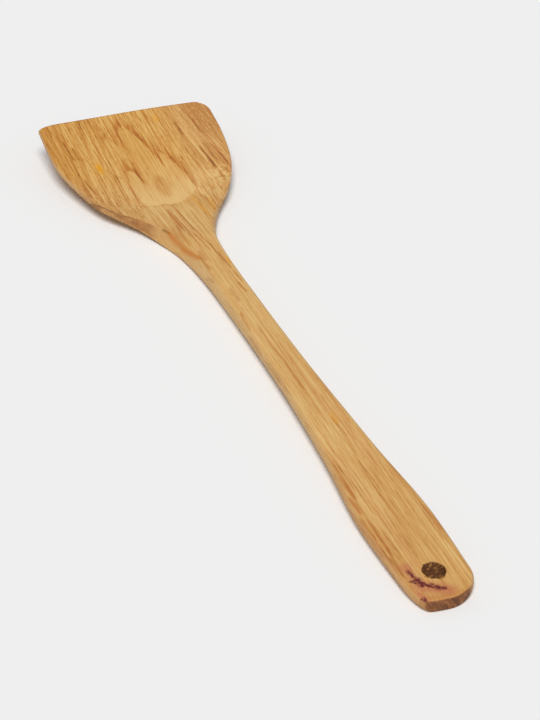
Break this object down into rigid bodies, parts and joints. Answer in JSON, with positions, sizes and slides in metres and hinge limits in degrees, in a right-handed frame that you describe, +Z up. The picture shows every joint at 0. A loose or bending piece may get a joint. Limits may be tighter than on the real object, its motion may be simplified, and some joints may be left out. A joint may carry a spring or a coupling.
{
  "type": "wooden spatula",
  "caption": "Long flat wooden turner carved from one piece: broad grip with a hanging hole, slim handle, and a thin dished blade that sweeps up to its front edge.",
  "frame": {"origin": "on the surface the spatula rests on, under the middle of its bounding box", "axes": "+Z up, +Y along the handle from the butt to the blade, +X to the right when looking along +Y"},
  "size_m": [0.0726, 0.33, 0.0135],
  "materials": {
    "wood": "oiled, satin"
  },
  "bodies": {
    "root": {"spatula_body": "wood"}
  },
  "joints": []
}
